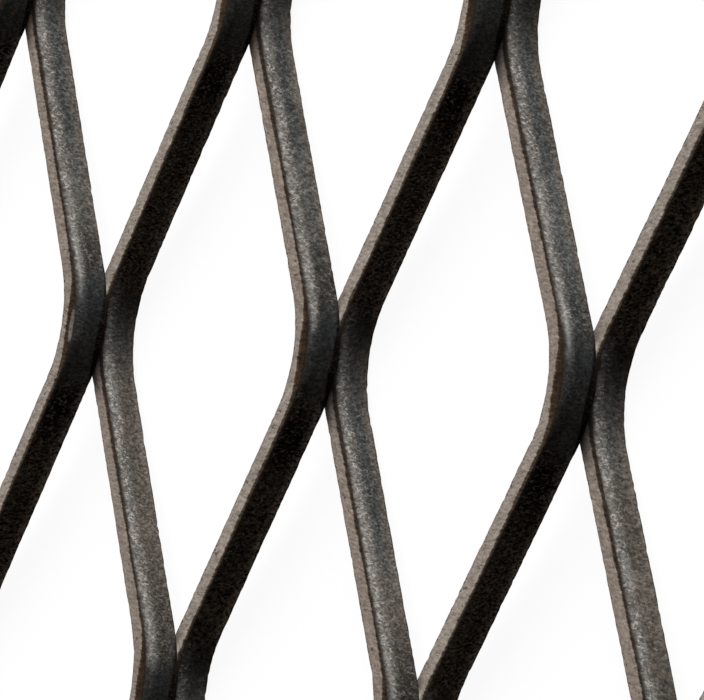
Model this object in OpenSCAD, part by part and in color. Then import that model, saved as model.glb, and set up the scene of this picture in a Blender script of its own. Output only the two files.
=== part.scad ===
// Raised expanded metal: one steel plate, slit in rows and drawn open, lying flat on its lower knuckles.
// X is the long way of the diamonds, Y the short way, Z up. Sizes in millimetres.

/* [Sheet] */
// Cut size along the long way of the diamonds
sheet_width = 500; // [160:10:600]
// Nominal size along the short way, made up of whole diamonds
sheet_length = 500; // [160:10:600]

/* [Mesh] */
// Long way of a diamond, bond centre to bond centre
long_way = 80; // [60:1:110]
// Short way of a diamond, bond centre to bond centre
short_way = 40; // [30:0.5:50]
// Centreline radius of the bend at a bond
bend_radius = 13; // [4:0.5:16]

/* [Strand] */
// Strand width, which is the feed of plate between two slits
strand_width = 4.1; // [2:0.1:7]
// Strand thickness, which is the thickness of the plate
strand_thickness = 3; // [1:0.1:5]

/* [Hidden] */

// Straight pieces on each side of the middle of a bend.
bend_steps = 2;
// A corner that comes nearer than this to a cut end is left out.
end_margin = 0.05;

// How far the blade pushes each row down, to a hundredth, so that every row keeps the same step.
stroke = round(100 * sqrt(pow(short_way / 2, 2) - pow(strand_width, 2))) / 100;

// Rows sit this far apart in the sheet, and each strand stands at this angle to it.
row_pitch = sqrt(pow(strand_width, 2) + pow(stroke, 2));
tilt = atan2(stroke, strand_width);
rows = 2 * floor(sheet_length / short_way);

// A leg runs straight from the bend at one bond to the bend at the next, half a diamond on.
half_way = long_way / 2;
drop = 2 * bend_radius - stroke;
leg_angle = asin(2 * bend_radius / sqrt(pow(half_way, 2) + pow(drop, 2))) - atan2(drop, half_way);
bend_step = leg_angle / (bend_steps + 0.5);

// Height of the middle of the sheet over its lowest edge.
rise = strand_width * sin(tilt) + strand_thickness / 2 * cos(tilt);

function mil(v) = round(1000 * v) / 1000;

// Corners of a row's centreline in the bend at bond k, along and through it. Every second bend is raised.
function bend_side(k) = k % 2 == 0 ? 1 : -1;
function bend_corner(k, turn) = [
    k * half_way + bend_radius * sin(turn),
    bend_side(k) * (stroke / 2 - bend_radius * (1 - cos(turn)))
];
reach = ceil(sheet_width / long_way) + 1;
corners = [for (k = [-reach:reach], i = [-bend_steps:bend_steps]) bend_corner(k, i * bend_step)];

// The same between the two cut ends.
cut = sheet_width / 2;
between = [for (c = corners) if (abs(c[0]) < cut - end_margin) c];
centreline = concat([[-cut, lookup(-cut, corners)]], between, [[cut, lookup(cut, corners)]]);
last = len(centreline) - 1;

// Side view of one row: the plate's edge, moved straight down along the wave and so thinned on the legs.
module row_outline(side) {
    over = [for (c = centreline) [mil(c[0]), mil(side * c[1]) + strand_thickness / 2]];
    under = [for (i = [last:-1:0]) [over[i][0], over[i][1] - strand_thickness]];
    polygon(concat(over, under));
}

// Rows side by side as the press leaves them, each one feed on from the last and one stroke lower.
module pressed_rows() {
    for (j = [0:rows - 1])
        translate([0, j * stroke, j * strand_width])
            linear_extrude(height = strand_width)
                row_outline(j % 2 == 0 ? 1 : -1);
}

module expanded_metal_sheet() {
    color("DimGray")
        translate([0, (rows - 1) / 2 * row_pitch, rise])
            rotate([90 + tilt, 0, 0])
                translate([0, 0, -strand_width / 2])
                    pressed_rows();
}

expanded_metal_sheet();
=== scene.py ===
"""Looks of the expanded metal sheet: mill scale on the rolled faces, bare metal on the sheared edges."""

import math

import bpy
import numpy as np
from mathutils import Matrix, Vector


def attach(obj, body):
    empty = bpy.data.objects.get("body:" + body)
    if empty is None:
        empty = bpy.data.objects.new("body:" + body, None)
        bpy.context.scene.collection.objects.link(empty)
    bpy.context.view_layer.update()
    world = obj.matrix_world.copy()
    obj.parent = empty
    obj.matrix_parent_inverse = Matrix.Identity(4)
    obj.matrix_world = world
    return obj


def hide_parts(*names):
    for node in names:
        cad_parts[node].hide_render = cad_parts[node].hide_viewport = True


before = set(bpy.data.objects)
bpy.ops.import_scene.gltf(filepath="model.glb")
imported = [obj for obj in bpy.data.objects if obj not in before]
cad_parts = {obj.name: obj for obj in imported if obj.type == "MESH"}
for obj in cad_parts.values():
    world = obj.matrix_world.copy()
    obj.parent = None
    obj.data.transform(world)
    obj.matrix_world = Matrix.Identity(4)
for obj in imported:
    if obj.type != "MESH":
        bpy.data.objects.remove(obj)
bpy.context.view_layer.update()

# A millimetre in metres, and a metre in millimetres.
MM = 0.001
METRE = 1000.0

# Sizes of the sheet in millimetres, as in the part's source.
SHEET_WIDTH = 500.0
SHEET_LENGTH = 500.0
LONG_WAY = 80.0
SHORT_WAY = 40.0
BEND_RADIUS = 13.0
STRAND_WIDTH = 4.1
STRAND_THICKNESS = 3.0

STROKE = round(math.sqrt((SHORT_WAY / 2) ** 2 - STRAND_WIDTH**2), 2)
ROW_PITCH = math.hypot(STRAND_WIDTH, STROKE)
TILT = math.atan2(STROKE, STRAND_WIDTH)
ROWS = 2 * math.floor(SHEET_LENGTH / SHORT_WAY)
HALF_WAY = LONG_WAY / 2
DROP = 2 * BEND_RADIUS - STROKE
LEG_ANGLE = math.asin(2 * BEND_RADIUS / math.hypot(HALF_WAY, DROP)) - math.atan2(DROP, HALF_WAY)
BEND_END = BEND_RADIUS * math.sin(LEG_ANGLE)
RISE = STRAND_WIDTH * math.sin(TILT) + STRAND_THICKNESS / 2 * math.cos(TILT)

# Steps of the mesh in half a bend and along a leg, and the spacing of the points on a burr edge in mm.
BEND_STEPS = 4
LEG_STEPS = 5
BURR_STEP = 0.5

# A ring of points that comes nearer than this to a cut end is left out.
END_MARGIN = 0.3

# Two edges of a strand are rolled over: reach of the rounding across the strand and through it in mm,
# and its steps.
ROUND_WIDE = 1.3
ROUND_DEEP = 0.4
ROUND_STEPS = 4

# A corner is on the rounding if it is no further past it than this, across the strand and through it.
ROUND_SLACK_WIDE = 0.03
ROUND_SLACK_DEEP = 0.001

# The other two edges are burrs, torn back unevenly by waves, grain and a few notches: how far each of them
# reaches in mm, and the notches' share of the points. The lower edge is torn back less.
TORN_WAVE = 0.05
WAVE_STEP = 1.7
TORN_GRAIN = 0.1
TORN_NOTCH = 0.1
NOTCH_SHARE = 0.06
LOWER_TORN = 0.7
SEED = 7

# Where two rows are joined the burr edge stays whole: half of that stretch, and the length it takes to fade.
JOINED = 4.0
FADE = 4.0

# Two rows run this far into each other at a bond, so that they join.
BOND_OVERLAP = 0.02

# Kinds of face, in the order of the materials. The normal of a cut end points at least so far along the
# rows, and that of a sheared face at least so far across the strands.
ROLLED, SHEARED, CUT = range(3)
CUT_NORMAL = 0.95
SHEARED_NORMAL = 0.72

# Least length that anything is divided by.
TINY = 1e-6


def from_bond(x):
    """Distance along a row from the nearest raised bond, 0 to HALF_WAY."""
    u = np.mod(np.abs(x), LONG_WAY)
    return np.where(u <= HALF_WAY, u, LONG_WAY - u)


def upper(v):
    """Height of the upper half of the wave at v from the bond."""
    bend = STROKE / 2 - BEND_RADIUS + np.sqrt(BEND_RADIUS**2 - np.minimum(v, BEND_END) ** 2)
    leg = (HALF_WAY / 2 - v) * math.tan(LEG_ANGLE)
    return np.where(v < BEND_END, bend, leg)


def wave(x):
    """Height of an even row's centreline at x. An odd row's is the same turned over."""
    v = from_bond(x)
    return np.where(v <= HALF_WAY / 2, upper(v), -upper(HALF_WAY - v))


def slope(x):
    """Rise of the wave over x."""
    v = from_bond(x)
    sine = np.minimum(np.minimum(v, HALF_WAY - v) / BEND_RADIUS, math.sin(LEG_ANGLE))
    steep = sine / np.sqrt(1 - sine * sine)
    return np.where(np.mod(x, LONG_WAY) <= HALF_WAY, -steep, steep)


def stations():
    """Places along a row where the mesh has a ring of points, cut ends included."""
    bend = [BEND_RADIUS * math.sin(LEG_ANGLE * i / BEND_STEPS) for i in range(BEND_STEPS + 1)]
    leg = np.linspace(BEND_END, HALF_WAY - BEND_END, LEG_STEPS + 1)[1:-1]
    half = bend + list(leg) + [HALF_WAY - b for b in reversed(bend[1:])]
    reach = math.ceil(SHEET_WIDTH / LONG_WAY) + 1
    x = np.array([k * HALF_WAY + h for k in range(-reach, reach) for h in half])
    x = x[np.abs(x) < SHEET_WIDTH / 2 - END_MARGIN]
    return np.concatenate([[-SHEET_WIDTH / 2], x, [SHEET_WIDTH / 2]])


def burr_places(x):
    """Places of the points on a burr edge, and the number of the point at each of the stations x."""
    steps = np.maximum(1, np.round(np.diff(x) / BURR_STEP)).astype(int)
    parts = [np.linspace(a, b, n, endpoint=False) for a, b, n in zip(x, x[1:], steps)]
    return np.concatenate(parts + [x[-1:]]), np.concatenate([[0], np.cumsum(steps)])


def torn_back(x, from_joint, random):
    """How far a burr edge is torn back at the places x, from_joint away from a joined stretch's middle."""
    knots = np.arange(x[0], x[-1] + WAVE_STEP, WAVE_STEP)
    waves = np.interp(x, knots, random.random(len(knots)))
    notches = random.random(len(x)) < NOTCH_SHARE
    depth = TORN_WAVE * waves + TORN_GRAIN * random.random(len(x)) + TORN_NOTCH * notches
    return depth * np.clip((from_joint - JOINED) / FADE, 0, 1)


def rounding():
    """The upper rolled-over edge, across and through the strand, from the rolled face to the sheared one."""
    turns = np.linspace(0, math.pi / 2, ROUND_STEPS + 1)
    across = ROUND_WIDE * (1 - np.sin(turns))
    through = STRAND_THICKNESS / 2 - ROUND_DEEP * (1 - np.cos(turns))
    return list(zip(across, through))


def between(a, b, first_a, first_b):
    """Faces between two lines of points, where station i has the points number a[i] and b[i] of its line."""
    faces = []
    for i in range(len(a) - 1):
        left = [first_a + n for n in range(a[i], a[i + 1] + 1)]
        right = [first_b + n for n in range(b[i], b[i + 1] + 1)]
        if len(left) == len(right) == 2:
            faces.append((left[0], left[1], right[1], right[0]))
            continue
        # The line with more points is shared out between the ends of the other.
        many, few, turned = (left, right, False) if len(left) > len(right) else (right, left, True)
        middle = len(many) // 2
        fan = [(many[n], many[n + 1], few[0] if n < middle else few[-1]) for n in range(len(many) - 1)]
        fan.append((few[0], many[middle], few[-1]))
        faces += [f[::-1] for f in fan] if turned else fan
    return faces


def pressed_rows(parity):
    """Every second row as the press leaves them: along, through and across the strands."""
    random = np.random.default_rng(SEED + parity)
    x = stations()
    burr_x, at_station = burr_places(x)
    each = np.arange(len(x))
    upper_edge = rounding()
    side = 1 if parity == 0 else -1
    from_raised = from_bond(burr_x if side > 0 else burr_x + HALF_WAY)
    points, faces, count = [], [], 0
    for row in range(parity, ROWS, 2):
        overlap = BOND_OVERLAP if row < ROWS - 1 else 0.0
        back = torn_back(burr_x, HALF_WAY - from_raised, random)
        lines = [(x, each, a, t) for a, t in upper_edge]
        lines.append((burr_x, at_station, 0.0, back - STRAND_THICKNESS / 2))
        lines += [(x, each, STRAND_WIDTH + overlap - a, -t) for a, t in upper_edge]
        back = LOWER_TORN * torn_back(burr_x, from_raised, random)
        lines.append((burr_x, at_station, STRAND_WIDTH + overlap - back, STRAND_THICKNESS / 2))
        edge = (row - 0.5) * STRAND_WIDTH
        firsts = []
        for line_x, _, across, through in lines:
            firsts.append(count)
            count += len(line_x)
            centre = side * wave(line_x) + row * STROKE
            points.append(np.stack(np.broadcast_arrays(line_x, centre + through, edge + across), -1))
        for k, line in enumerate(lines):
            after = (k + 1) % len(lines)
            faces += between(line[1], lines[after][1], firsts[k], firsts[after])
        faces.append(tuple(first + line[1][0] for first, line in zip(firsts, lines)))
        faces.append(tuple(first + line[1][-1] for first, line in reversed(list(zip(firsts, lines)))))
    mesh = bpy.data.meshes.new("rows")
    mesh.from_pydata(np.concatenate(points) * MM, [], faces)
    return mesh


def joined_rows():
    """All rows as one closed mesh, joined where two rows share a bond."""
    even = bpy.data.objects.new("even_rows", pressed_rows(0))
    odd = bpy.data.objects.new("odd_rows", pressed_rows(1))
    for rows in (even, odd):
        bpy.context.scene.collection.objects.link(rows)
    join = even.modifiers.new("join", "BOOLEAN")
    join.operation = "UNION"
    join.solver = "MANIFOLD"
    join.object = odd
    graph = bpy.context.evaluated_depsgraph_get()
    mesh = bpy.data.meshes.new_from_object(even.evaluated_get(graph))
    mesh.materials.clear()
    for rows in (even, odd):
        bpy.data.objects.remove(rows)
    return mesh


def read(data, name, size, kind=np.float32):
    """Values of one property of all elements, as an array."""
    values = np.empty(len(data) * size, kind)
    data.foreach_get(name, values)
    return values.reshape(-1, size) if size > 1 else values


def lay_flat(mesh):
    """Notes where each corner lies on its strand, sets exact normals and lays the rows down as the sheet."""
    points = read(mesh.vertices, "co", 3).astype(float) * METRE
    starts = read(mesh.polygons, "loop_start", 1, np.int32)
    totals = read(mesh.polygons, "loop_total", 1, np.int32)
    middles = read(mesh.polygons, "center", 3).astype(float) * METRE
    normals = read(mesh.polygons, "normal", 3).astype(float)
    corner_vertex = read(mesh.loops, "vertex_index", 1, np.int32)
    inside = middles[:, 2] - 2 * BOND_OVERLAP * np.sign(normals[:, 2])
    face_row = np.clip(np.floor(inside / STRAND_WIDTH + 0.5), 0, ROWS - 1)
    face_of = np.repeat(np.arange(len(starts)), totals)
    row = face_row[face_of]
    p = points[corner_vertex]
    side = np.where(row % 2 == 0, 1.0, -1.0)
    across = p[:, 2] - (row - 0.5) * STRAND_WIDTH
    through = p[:, 1] - row * STROKE - side * wave(p[:, 0])
    middle = middles[face_of, 0]
    from_raised = np.mod(middle + np.where(side > 0, HALF_WAY, LONG_WAY), LONG_WAY) - HALF_WAY

    is_cut = np.abs(normals[:, 0]) > CUT_NORMAL
    is_sheared = np.abs(normals[:, 2]) > SHEARED_NORMAL
    kind = np.where(is_cut, CUT, np.where(is_sheared, SHEARED, ROLLED))
    corner_kind = kind[face_of]

    # Normal in the section: that of the flat face, or that of the ellipse on a rolled-over edge.
    n_across = np.where(corner_kind == SHEARED, np.sign(normals[face_of, 2]), 0.0)
    n_through = np.where(corner_kind == SHEARED, 0.0, np.sign(normals[face_of, 1]))
    for near_across, near_through, way in (
        (across, STRAND_THICKNESS / 2 - through, 1),
        (STRAND_WIDTH - across, STRAND_THICKNESS / 2 + through, -1),
    ):
        on_round = near_across < ROUND_WIDE + ROUND_SLACK_WIDE
        on_round &= near_through < ROUND_DEEP + ROUND_SLACK_DEEP
        out_across = (near_across - ROUND_WIDE) / ROUND_WIDE**2 * way
        out_through = (ROUND_DEEP - near_through) / ROUND_DEEP**2 * way
        length = np.maximum(np.hypot(out_across, out_through), TINY)
        n_across = np.where(on_round, out_across / length, n_across)
        n_through = np.where(on_round, out_through / length, n_through)
    exact = np.stack([-side * slope(p[:, 0]) * n_through, n_through, n_across], -1)
    exact = np.where((corner_kind == CUT)[:, None], normals[face_of], exact)
    exact /= np.maximum(np.linalg.norm(exact, axis=1, keepdims=True), TINY)

    # The lower faces are the upper ones turned over, and so are their places.
    lower = np.where(corner_kind == SHEARED, normals[face_of, 2] > 0, normals[face_of, 1] < 0)
    turned_over = np.mod(from_raised + LONG_WAY, LONG_WAY) - HALF_WAY
    places = np.stack([
        np.where(lower, turned_over, from_raised) + p[:, 0] - middle,
        np.where(lower, STRAND_WIDTH - across, across),
        np.where(lower, -through, through),
    ], -1)
    mesh.attributes.new("strand", "FLOAT_VECTOR", "CORNER").data.foreach_set(
        "vector", places.astype(np.float32).ravel())
    mesh.attributes.new("row", "FLOAT", "FACE").data.foreach_set("value", face_row.astype(np.float32))
    mesh.polygons.foreach_set("material_index", kind.astype(np.int32))
    mesh.polygons.foreach_set("use_smooth", np.ones(len(kind), bool))

    lay = np.array([
        [1, 0, 0],
        [0, -math.sin(TILT), -math.cos(TILT)],
        [0, math.cos(TILT), -math.sin(TILT)],
    ])
    laid = points @ lay.T + [0, (ROWS - 1) / 2 * ROW_PITCH, RISE]
    mesh.vertices.foreach_set("co", (laid * MM).astype(np.float32).ravel())
    mesh.update()
    mesh.normals_split_custom_set((exact @ lay.T).tolist())
    return mesh


mesh = lay_flat(joined_rows())
mesh.name = "expanded_metal_sheet_looks"
sheet = bpy.data.objects.new("sheet", mesh)
bpy.context.scene.collection.objects.link(sheet)

# Sockets of a mix node that mixes colours.
MIX_FACTOR = 0
MIX_A = 6
MIX_B = 7
MIX_RESULT = 2

# Noise lies around this value, and one row's noise is this far from the next row's in its fourth dimension.
NOISE_MIDDLE = 0.5
NOISE_ROW_STEP = 1.37


def put(tree, socket, value):
    """Links an output to a socket, or sets a plain value or colour on it."""
    if isinstance(value, bpy.types.NodeSocket):
        tree.links.new(value, socket)
    elif isinstance(value, tuple) and socket.type == "RGBA":
        socket.default_value = (*value, 1)
    else:
        socket.default_value = value


def put_all(tree, node, values):
    """Sets or links the inputs of a node by their names."""
    for name, value in values.items():
        put(tree, node.inputs[name], value)


def math_of(tree, operation, *values):
    node = tree.nodes.new("ShaderNodeMath")
    node.operation = operation
    for socket, value in zip(node.inputs, values):
        put(tree, socket, value)
    return node.outputs[0]


def times(tree, a, b):
    return math_of(tree, "MULTIPLY", a, b)


def plus(tree, a, b):
    return math_of(tree, "ADD", a, b)


def minus(tree, a, b):
    return math_of(tree, "SUBTRACT", a, b)


def larger(tree, a, b):
    return math_of(tree, "MAXIMUM", a, b)


def size_of(tree, value):
    return math_of(tree, "ABSOLUTE", value)


def plus_times(tree, base, a, b):
    """base plus a times b."""
    return math_of(tree, "MULTIPLY_ADD", a, b, base)


def ramp(tree, value, low, high, at_low=0.0, at_high=1.0):
    """Goes smoothly from at_low to at_high while value goes from low to high."""
    node = tree.nodes.new("ShaderNodeMapRange")
    node.interpolation_type = "SMOOTHSTEP"
    for socket, v in zip(node.inputs, (value, low, high, at_low, at_high)):
        put(tree, socket, v)
    return node.outputs[0]


def eased(tree, share, at_none, at_all):
    """Goes smoothly from at_none to at_all while share goes from 0 to 1."""
    return ramp(tree, share, 0.0, 1.0, at_none, at_all)


def bulge(tree, value, middle, reach):
    """1 where value is at the middle, falling off to 0 on both sides of it."""
    off = math_of(tree, "DIVIDE", minus(tree, value, middle), reach)
    return math_of(tree, "EXPONENT", times(tree, times(tree, off, off), -1.0))


def mixed(tree, share, a, b, blend="MIX"):
    """Colour a where share is 0 and b, or its blend with a, where share is 1."""
    node = tree.nodes.new("ShaderNodeMix")
    node.data_type = "RGBA"
    node.blend_type = blend
    put(tree, node.inputs[MIX_FACTOR], share)
    put(tree, node.inputs[MIX_A], a)
    put(tree, node.inputs[MIX_B], b)
    return node.outputs[MIX_RESULT]


def scaled(tree, colour, by):
    """Colour times by, which is an output or a colour."""
    return mixed(tree, 1.0, colour, by, "MULTIPLY")


def mottled(tree, colour, speckle, span, darkest, palest):
    """Colour times darkest to palest, while the noise speckle goes over its span."""
    return scaled(tree, colour, ramp(tree, speckle, *span, darkest, palest))


def bump(tree, height, strength, distance):
    node = tree.nodes.new("ShaderNodeBump")
    put_all(tree, node, {"Height": height, "Strength": strength, "Distance": distance})
    return node.outputs[0]


def attribute(tree, name):
    node = tree.nodes.new("ShaderNodeAttribute")
    node.attribute_name = name
    return node


def separate(tree, vector):
    node = tree.nodes.new("ShaderNodeSeparateXYZ")
    tree.links.new(vector, node.inputs[0])
    return node.outputs


def combine(tree, x, y, z):
    node = tree.nodes.new("ShaderNodeCombineXYZ")
    for socket, value in zip(node.inputs, (x, y, z)):
        put(tree, socket, value)
    return node.outputs[0]


def new_material(name):
    material = bpy.data.materials.new(name)
    material.use_nodes = True
    tree = material.node_tree
    return material, tree, tree.nodes["Principled BSDF"]


def sheet_x(tree):
    """Millimetres along the sheet's long way from its middle."""
    x = separate(tree, tree.nodes.new("ShaderNodeTexCoord").outputs["Object"])["X"]
    return times(tree, x, METRE)


def row_number(tree):
    return attribute(tree, "row").outputs["Fac"]


def strand_places(tree):
    """Spot for noise that runs on along each row, and mm along, across and through the strand."""
    along, across, through = separate(tree, attribute(tree, "strand").outputs["Vector"])
    place = combine(tree, sheet_x(tree), across, through)
    return (place, times(tree, row_number(tree), NOISE_ROW_STEP)), along, across, through


def noise(tree, spot, along, over, detail=2.0, roughness=0.5):
    """Noise with so many grains a millimetre along the strand and over its faces."""
    place, row = spot
    stretch = tree.nodes.new("ShaderNodeVectorMath")
    stretch.operation = "MULTIPLY"
    tree.links.new(place, stretch.inputs[0])
    stretch.inputs[1].default_value = (along, over, over)
    node = tree.nodes.new("ShaderNodeTexNoise")
    node.noise_dimensions = "4D"
    put_all(tree, node, {"Vector": stretch.outputs[0], "W": row, "Scale": 1.0})
    put_all(tree, node, {"Detail": detail, "Roughness": roughness})
    return node.outputs[0]


def off_middle(tree, speckle):
    """How far noise is from its middle, which is least along thin winding lines."""
    return size_of(tree, minus(tree, speckle, NOISE_MIDDLE))


def around(tree, value, *wobbles):
    """value moved by each noise, by up to half of the amount that comes with it either way."""
    for speckle, amount in wobbles:
        value = plus_times(tree, value, minus(tree, speckle, NOISE_MIDDLE), amount)
    return value


# Materials. Along a strand, mm count from a raised bond, up to HALF_WAY on the lit leg, which falls away
# towards +X, and down to -HALF_WAY on the shaded one. Across it they count from the rolled-over edge, and
# through it from the middle of the plate towards that edge. Colours are in linear light.

# Colours given as a lit and a shaded copy differ between the two legs as painted light and shade.
# Along a strand, the shaded leg gives way to the lit one here at a raised bond, and the lit one to the shaded
# one at a lowered bond.
BOND_TURN = (-4.0, 4.0)
NOOK_TURN = (-38.0, -33.0)

# Noise between these values goes from darkest to palest.
GRAIN_SPAN = (0.36, 0.64)
PATCH_SPAN = (0.3, 0.7)
WIDE_SPAN = (0.35, 0.65)
LINES_SPAN = (0.25, 0.75)


def lit_leg(tree, along):
    """1 on the legs that fall away towards +X, 0 on the others."""
    return larger(tree, ramp(tree, along, *BOND_TURN), ramp(tree, along, *NOOK_TURN, 1.0, 0.0))


# Tint of the scale, from grey to rusty. It is shifted between these mm along the sheet, by so much at each.
TINT_SPAN = (0.4, 0.6)
RUSTY_TINT = (0.54, 0.62)
TINT_PLACES = (-35.0, 25.0)
TINT_SHIFTS = (0.1, -0.06)

# Broken scale on the legs. Its brown rim at the lower edge is partly painted bounce light, most on the shaded
# leg.
BROKEN_GREY = (0.056, 0.059, 0.057)
BROKEN_RUSTY = (0.082, 0.071, 0.059)
BROKEN_SHADED = (0.055, 0.042, 0.031)
BROKEN_PAST_BOND = (0.012, 0.012, 0.011)
RIM_LIT = (0.09, 0.077, 0.066)
RIM_SHADED_BOUNCE = (0.21, 0.174, 0.142)
# Pale shoulder of the lit leg, partly bare metal and partly a painted highlight.
SHOULDER_BARE_AND_HIGHLIGHT = (0.128, 0.12, 0.11)

# Where the shoulder and the rim end across the strand. Along it, the middle and the reach of a dim stretch of
# the shaded leg, and where the dark past a raised bond fades and the lower half of the lit leg begins.
SHOULDER_EDGE = (0.8, 2.0)
RIM_EDGE = (2.6, 4.0)
DIM_STRETCH = (-10.5, 3.5)
DIM_SHARE = 0.75
PAST_BOND = (6.0, 16.0)
LOWER_LEG = (20.0, 27.0)

# Whole scale at a raised bond, paler on the shaded side as a painted sheen, its worn crest, partly a painted
# highlight, with a painted highlight streak, and the dark lip under it.
WHOLE_LIT = (0.026, 0.028, 0.0275)
WHOLE_SHADED_SHEEN = (0.07, 0.07, 0.066)
CREST_SCALE = (0.04, 0.042, 0.042)
CREST_WORN_AND_HIGHLIGHT = (0.11, 0.109, 0.104)
CREST_HIGHLIGHT = (0.27, 0.27, 0.265)
LIP = (0.009, 0.007, 0.0055)

WHOLE_TURN = (-6.0, 1.5)
CREST_EDGE = (0.7, 1.8)
CREST_WEAR = (0.5, 8.0)
HIGHLIGHT_START = (1.5, 6.0)
HIGHLIGHT_END = (8.0, 12.0)
HIGHLIGHT_ACROSS = (0.75, 0.24)
LIP_ARCH = (-1.5, 5.5)
LIP_RISE = 0.85
LIP_EDGE = (-0.1, 0.15)

# Whole scale at a lowered bond, where it falls off to its shaded tone, where that tone ends, and where along
# a leg this scale takes the place of the other.
LOWERED_SCALE = (0.054, 0.054, 0.051)
LOWERED_RIM = (0.098, 0.089, 0.08)
LOWERED_WORN = (0.074, 0.073, 0.07)
LOWERED_SHADE = (-40.0, -34.0)
RAISED_BOND = (-1.0, 1.0)
LEG_MIDDLE = (19.0, 21.0)

# The scale breaks over these distances from a raised bond, counted from a little to its shaded side, and from
# a lowered bond. Where it is rusty it breaks this much nearer to the raised bond.
BEND_OFFSET = 0.8
RUSTY_BREAK = 3.0
BREAK_ABOVE = (4.5, 8.5)
BREAK_BELOW = (1.0, 7.0)

# Cracks, partly painted glints of flake edges: how thin they are, and where noise leaves them.
CRACK_GLINT = (0.36, 0.335, 0.305)
CRACK_THIN = (0.0, 0.07)
CRACK_PLACES = (0.46, 0.58)

# Dark lines along the edges, and how far across the upper one reaches, also past a bond and in a nook.
LINE_LIT = (0.012, 0.0085, 0.0065)
LINE_SHADED = (0.045, 0.034, 0.026)
LINE_START = -0.05
LINE_END = 0.5
LINE_PAST_BOND = (7.0, 5.0)
LINE_SOFTER = 0.25
# The upper line is wider in a nook partly as painted shade of the bond above.
LINE_NOOK = (34.0, 39.0)
LINE_WIDER = 0.1
FOOT = (0.02, 0.015, 0.012)
FOOT_EDGE = (3.92, 4.05)

# Height of the relief in metres.
SCALE_RELIEF = 0.00006


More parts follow.
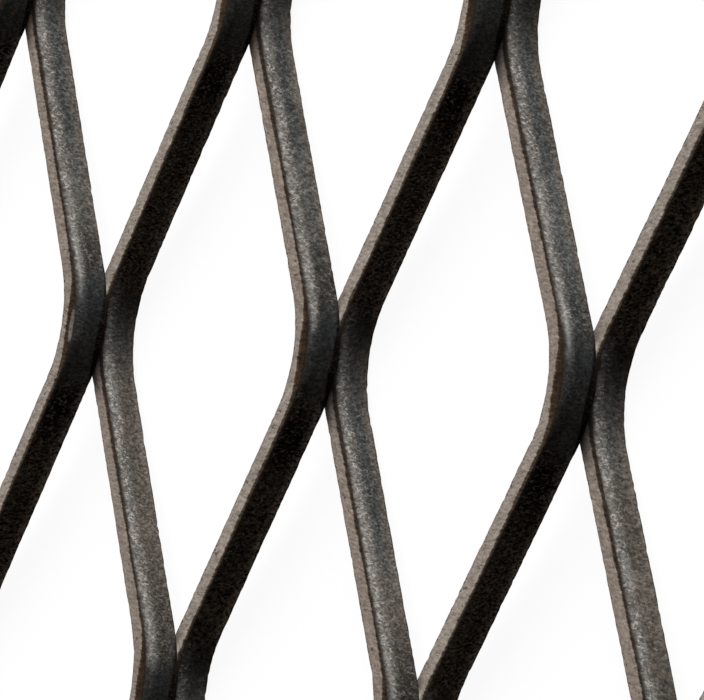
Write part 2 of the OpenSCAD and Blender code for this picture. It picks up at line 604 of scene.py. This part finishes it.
def mill_scale():
    material, tree, surface = new_material("mill_scale")
    spot, along, across, _ = strand_places(tree)
    grain = noise(tree, spot, along=4.0, over=2.6, roughness=0.6)
    patch = noise(tree, spot, along=1.4, over=1.4)
    lumps = noise(tree, spot, along=0.45, over=0.5)
    wide = noise(tree, spot, along=0.12, over=0.3)
    tint = noise(tree, spot, along=0.03, over=0.1)
    tint = plus(tree, tint, ramp(tree, sheet_x(tree), *TINT_PLACES, *TINT_SHIFTS))
    ragged = around(tree, across, (patch, 0.9), (lumps, 1.0))
    from_raised = size_of(tree, along)
    from_lowered = minus(tree, HALF_WAY, from_raised)
    lit = lit_leg(tree, along)

    # Broken scale: paler along the upper shoulder of the lit leg, partly bare and partly a painted highlight,
    # dark in the middle and brown towards the lower edge.
    shoulder_wear_and_highlight = times(tree, ramp(tree, ragged, *SHOULDER_EDGE, 1.0, 0.0), lit)
    rim = ramp(tree, ragged, *RIM_EDGE)
    grey = mixed(tree, ramp(tree, tint, *TINT_SPAN), BROKEN_GREY, BROKEN_RUSTY)
    middle = mixed(tree, lit, BROKEN_SHADED, grey)
    middle = scaled(tree, middle, plus_times(tree, 1.0, bulge(tree, along, *DIM_STRETCH), -DIM_SHARE))
    middle = scaled(tree, middle, ramp(tree, along, *LOWER_LEG, 1.0, 0.75))
    # The rim is paler on the shaded leg, painted bounce light from below.
    flaked = mixed(tree, rim, middle, mixed(tree, lit, RIM_SHADED_BOUNCE, RIM_LIT))
    past_bond = times(tree, ramp(tree, along, *BOND_TURN), ramp(tree, along, *PAST_BOND, 0.65, 0.0))
    flaked = mixed(tree, past_bond, flaked, BROKEN_PAST_BOND)
    bare_and_highlight = scaled(tree, SHOULDER_BARE_AND_HIGHLIGHT, ramp(tree, along, *LOWER_LEG, 1.0, 0.9))
    flaked = mixed(tree, shoulder_wear_and_highlight, flaked, bare_and_highlight)
    flaked = mottled(tree, flaked, wide, WIDE_SPAN, 0.85, 1.15)
    flaked = mottled(tree, flaked, grain, GRAIN_SPAN, eased(tree, lit, 0.1, 0.6), eased(tree, lit, 1.9, 1.4))

    # Whole blue-black scale where the strand was bent over the blade, with a painted sheen on the shaded
    # side, worn on top and partly a painted highlight there, with a dark lip under it.
    crest_band = ramp(tree, ragged, *CREST_EDGE, 1.0, 0.0)
    crest = mixed(tree, ramp(tree, along, *CREST_WEAR), CREST_SCALE, CREST_WORN_AND_HIGHLIGHT)
    whole = mixed(tree, ramp(tree, along, *WHOLE_TURN), WHOLE_SHADED_SHEEN, WHOLE_LIT)
    whole = mixed(tree, crest_band, whole, crest)
    arch = plus_times(tree, STRAND_WIDTH, bulge(tree, along, *LIP_ARCH), -LIP_RISE)
    lip_place = around(tree, across, (grain, 0.5), (lumps, 0.6))
    whole = mixed(tree, ramp(tree, minus(tree, lip_place, arch), *LIP_EDGE), whole, LIP)
    lowered = mixed(tree, rim, LOWERED_SCALE, LOWERED_RIM)
    lowered = mixed(tree, crest_band, lowered, LOWERED_WORN)
    shade = larger(tree, ramp(tree, along, *LOWERED_SHADE, 1.0, 0.55), ramp(tree, along, *RAISED_BOND))
    lowered = scaled(tree, lowered, shade)
    whole = mixed(tree, ramp(tree, from_raised, *LEG_MIDDLE), whole, lowered)
    whole = mottled(tree, whole, grain, GRAIN_SPAN, 0.65, 1.35)

    # The scale is whole near the bonds, and less far where it is rusty.
    bent = size_of(tree, plus(tree, along, BEND_OFFSET))
    bent = plus(tree, bent, ramp(tree, tint, *RUSTY_TINT, 0.0, RUSTY_BREAK))
    broken_above = ramp(tree, around(tree, bent, (wide, 3.0), (patch, 2.5)), *BREAK_ABOVE)
    broken_below = ramp(tree, around(tree, from_lowered, (wide, 3.0), (patch, 2.0)), *BREAK_BELOW)
    broken = math_of(tree, "MINIMUM", broken_above, broken_below)
    colour = mixed(tree, broken, whole, flaked)

    # Painted highlight on the crest, just past the bond, fainter where it is rusty.
    highlight_share = ramp(tree, tint, *RUSTY_TINT, 0.45, 0.1)
    highlight = times(tree, ramp(tree, along, *HIGHLIGHT_START), ramp(tree, along, *HIGHLIGHT_END, highlight_share, 0.0))
    highlight = times(tree, highlight, bulge(tree, around(tree, across, (patch, 0.3)), *HIGHLIGHT_ACROSS))
    colour = mixed(tree, highlight, colour, CREST_HIGHLIGHT)
    colour = mottled(tree, colour, patch, PATCH_SPAN, 0.8, 1.2)

    # Short bright cracks across the strand, partly painted glints, most of them on the shoulder of the lit
    # leg.
    crack_glint = off_middle(tree, noise(tree, spot, along=2.4, over=1.4, detail=1.0))
    crack_glint = ramp(tree, crack_glint, *CRACK_THIN, 1.0, 0.0)
    crack_glint = times(tree, crack_glint, ramp(tree, noise(tree, spot, along=2.8, over=2.0), *CRACK_PLACES))
    highlight_share = eased(tree, shoulder_wear_and_highlight, eased(tree, lit, 0.5, 0.25), 0.9)
    few = larger(tree, eased(tree, broken, 0.25, 1.0), ramp(tree, from_raised, *LEG_MIDDLE, 0.0, 0.7))
    colour = mixed(tree, times(tree, crack_glint, times(tree, highlight_share, few)), colour, CRACK_GLINT)

    # Dark line along both edges, softer past a raised bond and wider in the nook below one, where the
    # widening is partly painted shade.
    nook = ramp(tree, from_raised, *LINE_NOOK, 0.0, LINE_WIDER)
    top = minus(tree, around(tree, across, (patch, 0.25)), nook)
    line_end = plus_times(tree, LINE_END, bulge(tree, along, *LINE_PAST_BOND), LINE_SOFTER)
    line = mixed(tree, lit, LINE_SHADED, LINE_LIT)
    colour = mixed(tree, ramp(tree, top, LINE_START, line_end, 1.0, 0.0), colour, line)
    foot = ramp(tree, around(tree, across, (patch, 0.3)), *FOOT_EDGE, 0.0, 0.8)
    colour = mixed(tree, foot, colour, FOOT)

    height = plus_times(tree, grain, patch, 0.5)
    put_all(tree, surface, {
        "Base Color": colour,
        "Roughness": eased(tree, broken, 0.42, 0.65),
        "Specular IOR Level": 0.0,
        "Normal": bump(tree, height, eased(tree, broken, 0.12, 0.4), SCALE_RELIEF),
    })
    return material


# Torn metal of the sheared faces, a little darker on the lit legs as painted shade, and hairline tears: how
# thin they are, and where noise leaves them.
TORN_LIT = (0.202, 0.165, 0.138)
TORN_SHADED = (0.236, 0.2, 0.17)
TEAR = (0.055, 0.042, 0.033)
TEAR_THIN = (0.002, 0.02)
TEAR_PLACES = (0.5, 0.62)

# Nooks at a lowered bond, darkened as painted shadow of the raised bond over them: where along a leg they
# darken, the share of the colour that is left there, the painted shade in their corners and the depths it
# lies between, and a pale tip.
NOOK_LIT = (30.0, 37.0)
NOOK_SHADED = (-34.0, -38.5)
NOOK_LEFT_LIT = 0.03
NOOK_LEFT_SHADED = 0.06
CORNER_SHADE = (0.012, 0.0095, 0.008)
CORNER_SHADE_LIT = (30.5, 35.0)
CORNER_SHADE_SHADED = (-31.0, -36.0)
CORNER_SHADE_DEPTH = (0.2, -1.1)
TIP = (0.5, 0.45, 0.4)
TIP_ALONG = (-35.8, 0.6)
TIP_THROUGH = (0.05, 0.35)
TIP_SHARE = 0.7

# Brown band under the rolled-over edge. The level of its lower border goes between these values on the shaded
# leg, is lower near a nook, and is shifted by so much on the lit leg. At a raised bond it dips to a lens of
# rust.
BAND_LIT = (0.033, 0.023, 0.016)
BAND_SHADED = (0.04, 0.028, 0.0195)
BAND_TOP = (0.009, 0.0065, 0.005)
RUST = (0.047, 0.0245, 0.0112)
RUST_DEEP = (0.018, 0.0108, 0.0065)
LEVEL_SHADED = (-8.0, -28.0)
LEVELS_SHADED = (0.68, 0.84)
LEVEL_NOOK = (-29.0, -36.0)
LEVEL_NOOK_LOWER = 0.13
LEVEL_LIT = (8.0, 36.0)
LEVEL_SHIFTS_LIT = (0.26, -0.17)
LENS = (0.1, 4.4)
LENS_DIP = 1.15
BAND_EDGE = (-0.18, 0.14)
BAND_TOP_EDGE = (0.85, 1.15)
RUST_STRETCH = (0.0, 6.0)
RUST_DEPTH = (0.05, 0.6)

# The bond that has lost a flake, by its row and mm along the sheet, and the flake's outline.
FLAKE_ROW = 10
FLAKE_ALONG = (-0.4, 2.1)
FLAKE_THROUGH = (1.15, 0.75)
FLAKE_EDGE = (0.3, 0.6)
FLAKE_SHADE = (0.6, 0.6, 0.6)

# Burr, and how far the noise sets its teeth off.
BURR = (0.05, 0.039, 0.031)
BURR_EDGE = (-1.45, -1.28)
TEETH_SPAN = (0.5, 0.66)
TEETH = (-0.05, 0.4)

# Height of the relief in metres.
TORN_RELIEF = 0.00005


def sheared_edge():
    material, tree, surface = new_material("sheared_edge")
    spot, along, _, through = strand_places(tree)
    lines = noise(tree, spot, along=3.2, over=0.9, detail=3.0, roughness=0.6)
    patch = noise(tree, spot, along=3.6, over=3.0, roughness=0.6)
    lumps = noise(tree, spot, along=0.9, over=0.6)
    wide = noise(tree, spot, along=0.16, over=0.3)
    lit = lit_leg(tree, along)

    # Torn metal, a little darker on the lit legs as painted shade, with short hairline tears across it.
    torn = mixed(tree, lit, TORN_SHADED, TORN_LIT)
    torn = mottled(tree, torn, lines, LINES_SPAN, 0.67, 1.33)
    torn = mottled(tree, torn, patch, PATCH_SPAN, 0.78, 1.22)
    torn = mottled(tree, torn, lumps, PATCH_SPAN, 0.9, 1.1)
    tear = off_middle(tree, noise(tree, spot, along=0.7, over=0.22, roughness=0.7))
    tear = ramp(tree, tear, *TEAR_THIN, 1.0, 0.0)
    tear = times(tree, tear, ramp(tree, noise(tree, spot, along=1.1, over=0.9), *TEAR_PLACES, 0.0, 0.85))
    torn = mixed(tree, tear, torn, TEAR)

    # Painted shadow in the nooks beside a bond, darkest in their corners.
    nook = ramp(tree, along, *NOOK_LIT, 1.0, NOOK_LEFT_LIT)
    nook = times(tree, nook, ramp(tree, along, *NOOK_SHADED, 1.0, NOOK_LEFT_SHADED))
    torn = scaled(tree, torn, nook)
    corner_shade = larger(tree, ramp(tree, along, *CORNER_SHADE_LIT, 0.0, 0.95), ramp(tree, along, *CORNER_SHADE_SHADED, 0.0, 0.6))
    corner_shade = times(tree, corner_shade, ramp(tree, around(tree, through, (lumps, 0.6)), *CORNER_SHADE_DEPTH))
    torn = mixed(tree, corner_shade, torn, CORNER_SHADE)
    tip = times(tree, bulge(tree, along, *TIP_ALONG), bulge(tree, through, *TIP_THROUGH))
    torn = mixed(tree, times(tree, tip, TIP_SHARE), torn, TIP)

    # Brown band under the rolled-over edge, with a ragged border, and widest and rusty at a raised bond.
    level = ramp(tree, along, *LEVEL_SHADED, *LEVELS_SHADED)
    level = minus(tree, level, ramp(tree, along, *LEVEL_NOOK, 0.0, LEVEL_NOOK_LOWER))
    shift = ramp(tree, along, *LEVEL_LIT, *LEVEL_SHIFTS_LIT)
    level = plus_times(tree, level, ramp(tree, along, *BOND_TURN), shift)
    level = plus_times(tree, level, bulge(tree, along, *LENS), -LENS_DIP)
    level = around(tree, level, (wide, 0.3), (lumps, 0.5), (lines, 0.5))
    depth = minus(tree, through, level)
    brown = mixed(tree, lit, BAND_SHADED, BAND_LIT)
    rust = mixed(tree, ramp(tree, depth, *RUST_DEPTH), RUST, RUST_DEEP)
    brown = mixed(tree, bulge(tree, along, *RUST_STRETCH), brown, rust)
    brown = mottled(tree, brown, lines, PATCH_SPAN, 0.3, 1.7)
    brown = mottled(tree, brown, patch, PATCH_SPAN, 0.65, 1.35)
    # The band takes the nooks' painted shadow too.
    brown = scaled(tree, brown, nook)
    dark = ramp(tree, around(tree, through, (lumps, 0.2)), *BAND_TOP_EDGE)
    dark = times(tree, dark, ramp(tree, along, *BOND_TURN, 0.25, 0.5))
    brown = mixed(tree, dark, brown, BAND_TOP)
    colour = mixed(tree, ramp(tree, depth, *BAND_EDGE), torn, brown)

    # One bond has lost a flake of the band.
    flake = times(tree, bulge(tree, sheet_x(tree), *FLAKE_ALONG), bulge(tree, through, *FLAKE_THROUGH))
    flake = ramp(tree, around(tree, flake, (lines, 0.5)), *FLAKE_EDGE, 0.0, 0.85)
    flake = times(tree, flake, math_of(tree, "COMPARE", row_number(tree), FLAKE_ROW, 0.5))
    colour = mixed(tree, flake, colour, scaled(tree, torn, FLAKE_SHADE))

    # Burr along the other edge.
    teeth = ramp(tree, lines, *TEETH_SPAN, *TEETH)
    burr = ramp(tree, minus(tree, through, teeth), *BURR_EDGE, 0.9, 0.0)
    colour = mixed(tree, burr, colour, BURR)

    height = plus_times(tree, minus(tree, lines, tear), lumps, 1.5)
    put_all(tree, surface, {
        "Base Color": colour,
        "Roughness": 0.75,
        "Specular IOR Level": 0.05,
        "Normal": bump(tree, height, 0.35, TORN_RELIEF),
    })
    return material


# Bare metal of the cut ends, and the height of its relief in metres.
CUT_DARK = (0.15, 0.125, 0.105)
CUT_PALE = (0.26, 0.225, 0.19)
CUT_RELIEF = 0.00008


def cut_end():
    material, tree, surface = new_material("cut_end")
    spot = strand_places(tree)[0]
    smear = noise(tree, spot, along=1.0, over=1.6, detail=3.0, roughness=0.6)
    put_all(tree, surface, {
        "Base Color": mixed(tree, smear, CUT_DARK, CUT_PALE),
        "Roughness": 0.65,
        "Specular IOR Level": 0.2,
        "Normal": bump(tree, smear, 0.4, CUT_RELIEF),
    })
    return material


for material in (mill_scale(), sheared_edge(), cut_end()):
    mesh.materials.append(material)

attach(sheet, "root")
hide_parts("expanded_metal_sheet")


def seen_or_not(tree):
    """1 for rays from the camera, reflections and what shows through, 0 for the rest."""
    path = tree.nodes.new("ShaderNodeLightPath").outputs
    mirrored = larger(tree, path["Is Glossy Ray"], path["Is Transmission Ray"])
    return larger(tree, path["Is Camera Ray"], mirrored)


# The floor is white, with the sheet's shadow, where it is seen, and dim where it only sends light back.
FLOOR_REACH = 6.0
FLOOR_SHADOW = 0.06
FLOOR_BOUNCE = (0.105, 0.072, 0.05)
WHITE = (1.0, 1.0, 1.0)
floor_mesh = bpy.data.meshes.new("floor")
floor_corners = [(FLOOR_REACH * x, FLOOR_REACH * y, 0) for x, y in ((-1, -1), (1, -1), (1, 1), (-1, 1))]
floor_mesh.from_pydata(floor_corners, [], [(0, 1, 2, 3)])
floor = bpy.data.objects.new("floor", floor_mesh)
bpy.context.scene.collection.objects.link(floor)
material, tree, surface = new_material("floor")
seen = seen_or_not(tree)
put_all(tree, surface, {
    "Base Color": mixed(tree, seen, FLOOR_BOUNCE, (FLOOR_SHADOW,) * 3),
    "Roughness": 1.0,
    "Specular IOR Level": 0.0,
    "Emission Color": WHITE,
    "Emission Strength": times(tree, seen, 1 - FLOOR_SHADOW),
})
floor_mesh.materials.append(material)

# Camera, from the fit of the strand edges in the photograph: its turn, as an axis as long as the angle, its
# shift in row pitches from the middle of a bond of VIEW_ROW, and its focal length in pixels.
PHOTO_WIDTH = 704
VIEW_TURN = Vector((1.8323, -1.6169, -0.6981))
VIEW_SHIFT = (-1.8214, -0.1913, 32.8067)
VIEW_FOCAL = 5553.99
VIEW_ROW = 10
SENSOR_WIDTH = 36
CLIP_START = 0.02
scene = bpy.context.scene
right, down, forward = np.array(Matrix.Rotation(VIEW_TURN.length, 3, VIEW_TURN))
eye = -np.stack([right, down, forward], 1) @ np.array(VIEW_SHIFT) * ROW_PITCH
eye += [0, ((ROWS - 1) / 2 - VIEW_ROW) * ROW_PITCH, RISE]
camera = bpy.data.cameras.new("camera")
camera.sensor_width = SENSOR_WIDTH
camera.lens = VIEW_FOCAL * SENSOR_WIDTH / PHOTO_WIDTH
camera.clip_start = CLIP_START
shot = bpy.data.objects.new("camera", camera)
place = Matrix(np.stack([right, -down, -forward], 1).tolist()).to_4x4()
place.translation = (eye * MM).tolist()
shot.matrix_world = place
scene.collection.objects.link(shot)
scene.camera = shot

# One large soft lamp low on the long-way side, aimed at the middle of the sheet, and a faint even fill.
LAMP_PLACE = Vector((2.0, 0.0, 1.05))
LAMP_POWER = 130
LAMP_SIZE = 1.5
FILL = 0.1
lamp = bpy.data.lights.new("key", "AREA")
lamp.energy = LAMP_POWER
lamp.shape = "DISK"
lamp.size = LAMP_SIZE
key = bpy.data.objects.new("key", lamp)
key.location = LAMP_PLACE
key.rotation_euler = LAMP_PLACE.to_track_quat("Z", "Y").to_euler()
scene.collection.objects.link(key)

world = bpy.data.worlds.new("world")
scene.world = world
world.use_nodes = True
tree = world.node_tree
strength = plus_times(tree, FILL, seen_or_not(tree), 1 - FILL)
put_all(tree, tree.nodes["Background"], {"Color": WHITE, "Strength": strength})

scene.view_settings.view_transform = "Standard"
